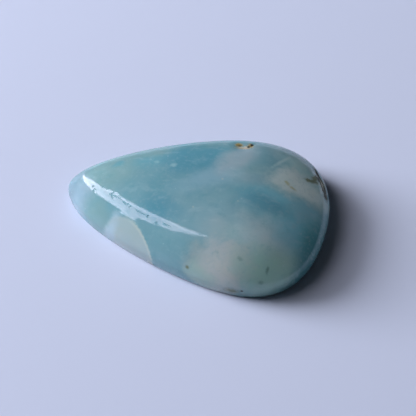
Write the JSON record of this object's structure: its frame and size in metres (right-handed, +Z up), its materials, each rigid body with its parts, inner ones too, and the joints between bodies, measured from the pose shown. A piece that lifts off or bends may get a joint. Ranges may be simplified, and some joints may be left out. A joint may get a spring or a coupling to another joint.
{
  "type": "polished opal cabochon",
  "caption": "Polished pear-shaped cabochon of opaque blue-green opal, with a domed crown, rounded shoulders and a flat back to lie or be set on.",
  "frame": {"origin": "on the flat back, under the middle of the stone's length and width", "axes": "+X along the length from the pointed tip to the round belly, +Y across the stone, +Z up from the flat back through the crown"},
  "size_m": [0.0384, 0.0274, 0.0084],
  "materials": {
    "polished_opal": "polished, waxy to glassy, milky and slightly translucent blue-green with pale grey clouds"
  },
  "bodies": {
    "root": {"opal_cabochon": "polished_opal"}
  },
  "joints": []
}
